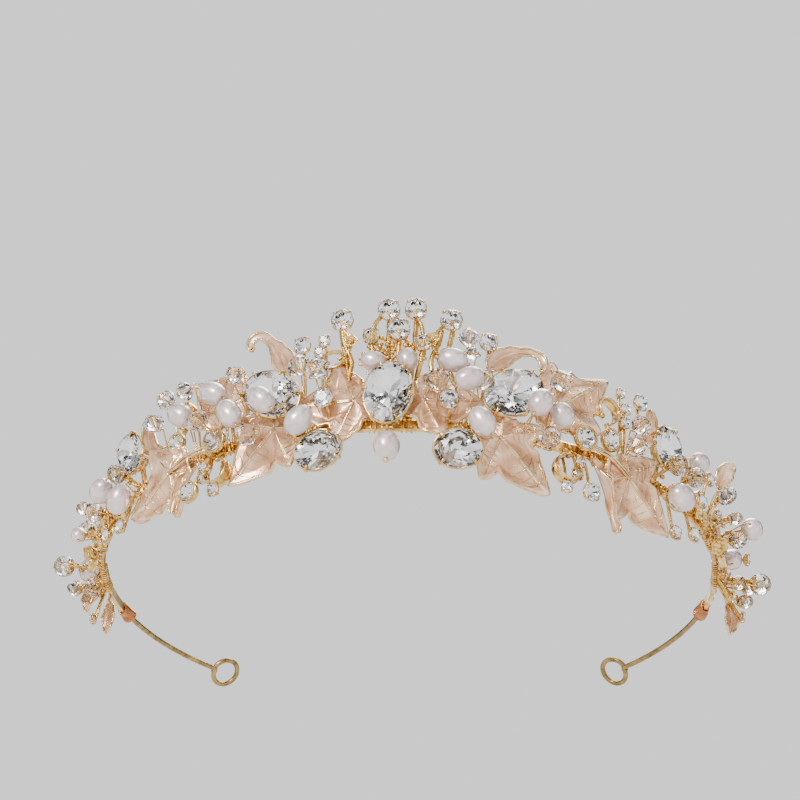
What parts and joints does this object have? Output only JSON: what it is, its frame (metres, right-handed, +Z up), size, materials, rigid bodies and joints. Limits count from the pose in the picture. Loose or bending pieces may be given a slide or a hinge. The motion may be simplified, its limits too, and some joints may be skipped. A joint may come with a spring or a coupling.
{
  "type": "bridal tiara",
  "caption": "Gilt bridal tiara headband with enamelled leaves, clear stones, pearls and crystal beads, spring wire arms ending in eyelets, and a swinging drop pearl.",
  "frame": {"origin": "centre of the headband's circle, level with the middle of its strip, where the wearer's head sits", "axes": "+X to the wearer's left, -Y to the front of the tiara, +Z up towards the tips of the spray"},
  "size_m": [0.1698, 0.1376, 0.0469],
  "materials": {
    "gold": "bright polished gold plating",
    "leaf_enamel": "satin champagne pink enamel with gold edges and veins",
    "copper_wire": "bright close-wound copper wire",
    "arm_wire": "satin dark gold spring wire",
    "stone": "faceted clear glass with a silvered foil back",
    "bead_crystal": "faceted clear glass",
    "pearl": "pearlised lustre with a pink tint"
  },
  "bodies": {
    "root": {"band_strip": "gold", "centre_spray": "gold", "centre_setting": "gold", "centre_stone": "stone", "centre_rhinestones": "stone", "left_large_setting": "gold", "left_large_stone": "stone", "right_large_setting": "gold", "right_large_stone": "stone", "left_lower_setting": "gold", "left_lower_stone": "stone", "right_lower_setting": "gold", "right_lower_stone": "stone", "left_side_setting": "gold", "left_side_stone": "stone", "right_side_setting": "gold", "right_side_stone": "stone", "left_centre_leaf": "leaf_enamel", "right_centre_leaf": "leaf_enamel", "left_lower_leaf": "leaf_enamel", "right_lower_leaf": "leaf_enamel", "left_upper_leaf": "leaf_enamel", "right_upper_leaf": "leaf_enamel", "left_maple_leaf": "leaf_enamel", "right_maple_leaf": "leaf_enamel", "left_curl_leaf": "leaf_enamel", "right_curl_leaf": "leaf_enamel", "left_twist_leaf": "leaf_enamel", "right_twist_leaf": "leaf_enamel", "left_ribbon_leaf": "leaf_enamel", "right_ribbon_leaf": "leaf_enamel", "left_end_leaf": "leaf_enamel", "right_end_leaf": "leaf_enamel", "left_tail_leaf": "leaf_enamel", "right_tail_leaf": "leaf_enamel", "left_vine": "gold", "right_vine": "gold", "left_rhinestones": "stone", "right_rhinestones": "stone", "left_cups": "gold", "right_cups": "gold", "left_pearls": "pearl", "right_pearls": "pearl", "left_end_pearls": "pearl", "right_end_pearls": "pearl", "left_crystals": "bead_crystal", "right_crystals": "bead_crystal", "left_end_crystals": "bead_crystal", "right_end_crystals": "bead_crystal", "left_wires": "gold", "right_wires": "gold", "left_binding": "copper_wire", "right_binding": "copper_wire", "drop_hanger": "gold"},
    "left_arm": {"left_arm": "arm_wire"},
    "right_arm": {"right_arm": "arm_wire"},
    "drop_pin": {"drop_pin": "gold"},
    "drop_pearl": {"drop_pearl": "pearl"}
  },
  "joints": [
    {"name": "left_arm_flex", "type": "hinge", "parent": "root", "child": "left_arm", "pos_m": [-0.07166, 0.01393, 0], "axis": [0, 0, 1], "range_deg": [-5, 12], "stiffness_Nm_per_rad": 0.055},
    {"name": "right_arm_flex", "type": "hinge", "parent": "root", "child": "right_arm", "pos_m": [0.07166, 0.01393, 0], "axis": [0, 0, -1], "range_deg": [-5, 12], "stiffness_Nm_per_rad": 0.055},
    {"name": "drop_swing", "type": "hinge", "parent": "root", "child": "drop_pin", "pos_m": [0, -0.0798, -0.0046], "axis": [1, 0, 0], "range_deg": [-22, 22]},
    {"name": "drop_pearl_spin", "type": "hinge", "parent": "drop_pin", "child": "drop_pearl", "pos_m": [0, -0.0798, -0.0086], "axis": [0, 0, 1], "continuous": true}
  ]
}
